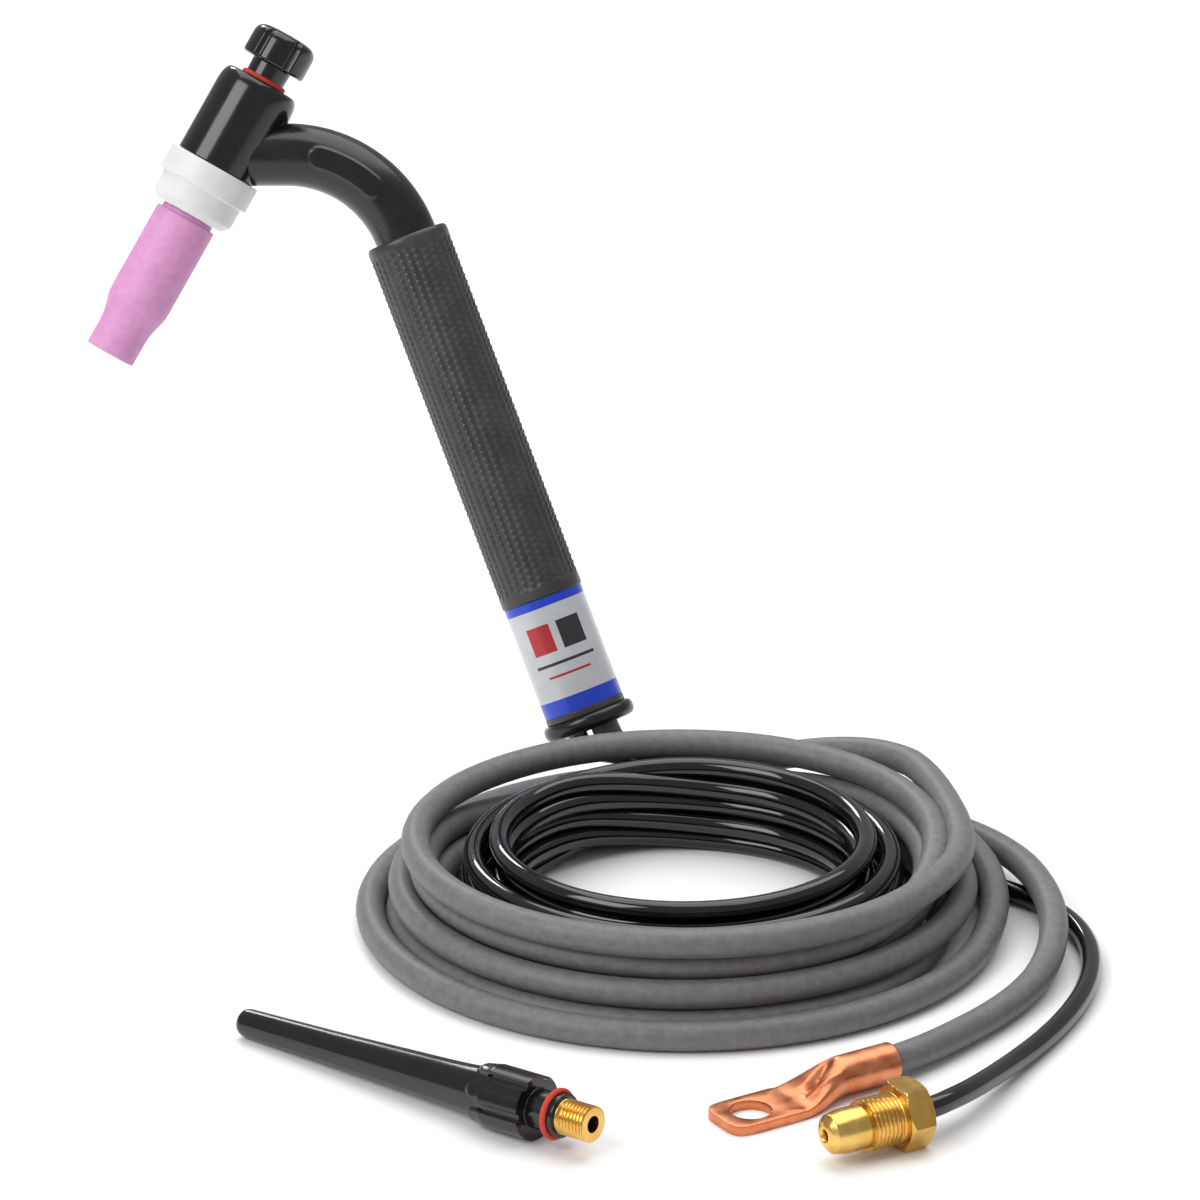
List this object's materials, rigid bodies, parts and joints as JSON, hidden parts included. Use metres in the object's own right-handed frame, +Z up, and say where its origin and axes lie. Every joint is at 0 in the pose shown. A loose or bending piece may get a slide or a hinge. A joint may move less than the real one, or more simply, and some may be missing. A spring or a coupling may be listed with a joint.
{
  "type": "tig welding torch",
  "caption": "Air-cooled TIG torch with pink ceramic nozzle, flexible neck, round dimpled handle, coiled power cable with lug, coiled gas hose with nut, and a loose long back cap.",
  "frame": {"origin": "middle of the hand grip, on the handle's axis, where a hand or a holder carries the torch", "axes": "+Z up from the floor that the leads lie on, -Y towards the side where the lead ends lie; the handle leans 20.7 degrees to -X and 19.3 degrees back to +Y"},
  "size_m": [0.3254, 0.3695, 0.2445],
  "materials": {
    "grip_plastic": "dimple-textured moulded plastic, matte",
    "label_film": "silver wrap film with plain blue bands",
    "black_rubber": "glossy black moulded rubber",
    "black_plastic": "polished black moulded phenolic",
    "white_insulator": "turned white insulator, satin",
    "pink_alumina": "fired pink alumina, matte",
    "brass_parts": "turned brass",
    "copper_parts": "formed copper, satin",
    "red_silicone": "red silicone rubber",
    "tungsten": "ground tungsten",
    "grey_cable": "matte grey cable jacket",
    "black_hose": "smooth glossy black hose"
  },
  "bodies": {
    "handle": {"handle_grip": "grip_plastic", "label_band": "label_film", "end_grommet": "black_rubber", "neck_plug": "black_plastic", "neck_sleeve": "black_rubber", "neck_conduit": "copper_parts", "junction_block": "brass_parts", "power_stud": "brass_parts", "power_nut": "brass_parts", "power_ferrule": "copper_parts", "power_cable_inner": "grey_cable", "hose_barb": "brass_parts", "gas_hose_inner": "black_hose", "hose_ferrule": "brass_parts", "power_cable_lead": "grey_cable", "power_cable_coil": "grey_cable", "power_cable_tail": "grey_cable", "gas_hose_lead": "black_hose", "gas_hose_coil": "black_hose", "gas_hose_tail": "black_hose", "cable_lug": "copper_parts", "gas_nipple": "brass_parts", "gas_end_ferrule": "brass_parts"},
    "head": {"head_shell": "black_plastic", "head_core": "brass_parts", "cup_gasket": "white_insulator", "collet_body": "brass_parts", "collet": "copper_parts"},
    "nozzle": {"nozzle": "pink_alumina"},
    "electrode": {"tungsten_electrode": "tungsten"},
    "cap_seal": {"back_cap_oring": "red_silicone"},
    "back_cap": {"back_cap_knob": "black_plastic", "back_cap_insert": "brass_parts"},
    "gas_nut": {"gas_nut": "brass_parts"},
    "long_cap": {"long_cap": "black_plastic", "long_cap_insert": "brass_parts", "long_cap_oring": "red_silicone"}
  },
  "joints": [
    {"name": "neck_flex", "type": "hinge", "parent": "handle", "child": "head", "pos_m": [-0.03792, 0.02625, 0.07497], "axis": [0, 0.9438, -0.3305], "range_deg": [-30, 25], "deforming": ["neck_sleeve", "neck_conduit"]},
    {"name": "nozzle_unscrew", "type": "slide", "parent": "head", "child": "nozzle", "axis": [-0.4924, -0.2877, -0.8214], "range_m": [0, 0.012]},
    {"name": "electrode_feed", "type": "slide", "parent": "head", "child": "electrode", "axis": [-0.4924, -0.2877, -0.8214], "range_m": [0, 0.014]},
    {"name": "cap_travel", "type": "slide", "parent": "head", "child": "cap_seal", "axis": [0.4924, 0.2877, 0.8214], "range_m": [0, 0.01]},
    {"name": "cap_turn", "type": "hinge", "parent": "cap_seal", "child": "back_cap", "pos_m": [-0.06856, 0.03733, 0.10659], "axis": [0.4924, 0.2877, 0.8214], "range_deg": [0, 2880]},
    {"name": "gas_nut_spin", "type": "hinge", "parent": "handle", "child": "gas_nut", "pos_m": [0.13459, -0.29842, -0.11112], "axis": [-0.8581, -0.5135, 0], "continuous": true},
    {"name": "long_cap_lift", "type": "slide", "parent": "handle", "child": "long_cap", "axis": [0, 0, 1], "range_m": [0, 0.12]}
  ],
  "couplings": [
    {"joint": "cap_travel", "follows": "cap_turn", "m_per_rad": 0.00019894}
  ]
}
